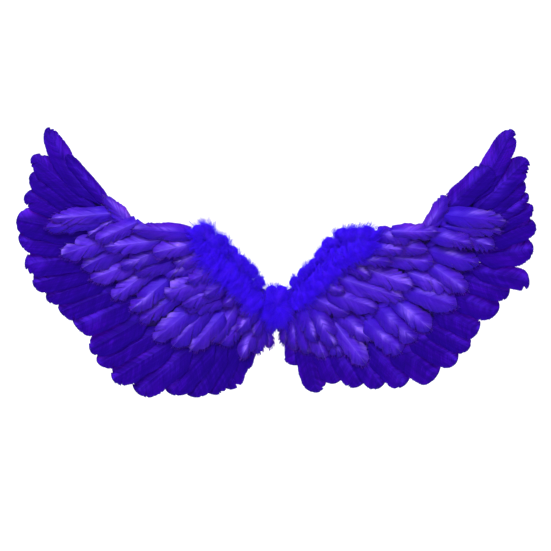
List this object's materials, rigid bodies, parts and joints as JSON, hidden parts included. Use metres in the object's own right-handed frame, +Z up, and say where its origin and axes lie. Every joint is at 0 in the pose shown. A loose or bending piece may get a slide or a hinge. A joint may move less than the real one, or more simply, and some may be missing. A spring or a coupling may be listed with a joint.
{
  "type": "feathered costume angel wings",
  "caption": "Pair of feathered costume wings on card backings, with overlapping flight and covert feathers, a fluff ridge and two elastic arm loops.",
  "frame": {"origin": "middle of the crease on the wearer's side of the back patch, where the wings sit on the wearer's back", "axes": "+Z up as worn, +Y towards the wearer, the feathers face -Y, +X to the right seen from the feathered side"},
  "size_m": [0.6002, 0.1413, 0.3157],
  "materials": {
    "flight_feather": "dyed goose feather, satin, deep violet blue",
    "covert_feather": "dyed goose feather, satin, lighter violet blue with darker edges",
    "fluff": "dyed down, matt and bright blue violet",
    "backing_felt": "felt-covered card, matt",
    "elastic": "flat woven elastic, matt"
  },
  "bodies": {
    "root": {"left_backing_card": "backing_felt", "right_backing_card": "backing_felt", "back_patch": "backing_felt", "left_arm_loop": "elastic", "right_arm_loop": "elastic", "left_flight_01": "flight_feather", "left_flight_02": "flight_feather", "left_flight_03": "flight_feather", "left_flight_04": "flight_feather", "left_flight_05": "flight_feather", "left_flight_06": "flight_feather", "left_flight_07": "flight_feather", "left_flight_08": "flight_feather", "left_flight_09": "flight_feather", "left_flight_10": "flight_feather", "left_flight_11": "flight_feather", "left_flight_12": "flight_feather", "left_flight_13": "flight_feather", "left_flight_14": "flight_feather", "left_flight_15": "flight_feather", "left_flight_16": "flight_feather", "left_flight_17": "flight_feather", "left_flight_18": "flight_feather", "left_flight_19": "flight_feather", "left_flight_20": "flight_feather", "left_flight_21": "flight_feather", "right_flight_01": "flight_feather", "right_flight_02": "flight_feather", "right_flight_03": "flight_feather", "right_flight_04": "flight_feather", "right_flight_05": "flight_feather", "right_flight_06": "flight_feather", "right_flight_07": "flight_feather", "right_flight_08": "flight_feather", "right_flight_09": "flight_feather", "right_flight_10": "flight_feather", "right_flight_11": "flight_feather", "right_flight_12": "flight_feather", "right_flight_13": "flight_feather", "right_flight_14": "flight_feather", "right_flight_15": "flight_feather", "right_flight_16": "flight_feather", "right_flight_17": "flight_feather", "right_flight_18": "flight_feather", "right_flight_19": "flight_feather", "right_flight_20": "flight_feather", "right_flight_21": "flight_feather", "left_greater_coverts": "covert_feather", "left_median_coverts": "covert_feather", "left_lesser_coverts": "covert_feather", "right_greater_coverts": "covert_feather", "right_median_coverts": "covert_feather", "right_lesser_coverts": "covert_feather", "left_fluff": "fluff", "right_fluff": "fluff", "centre_tuft": "fluff"}
  },
  "joints": []
}
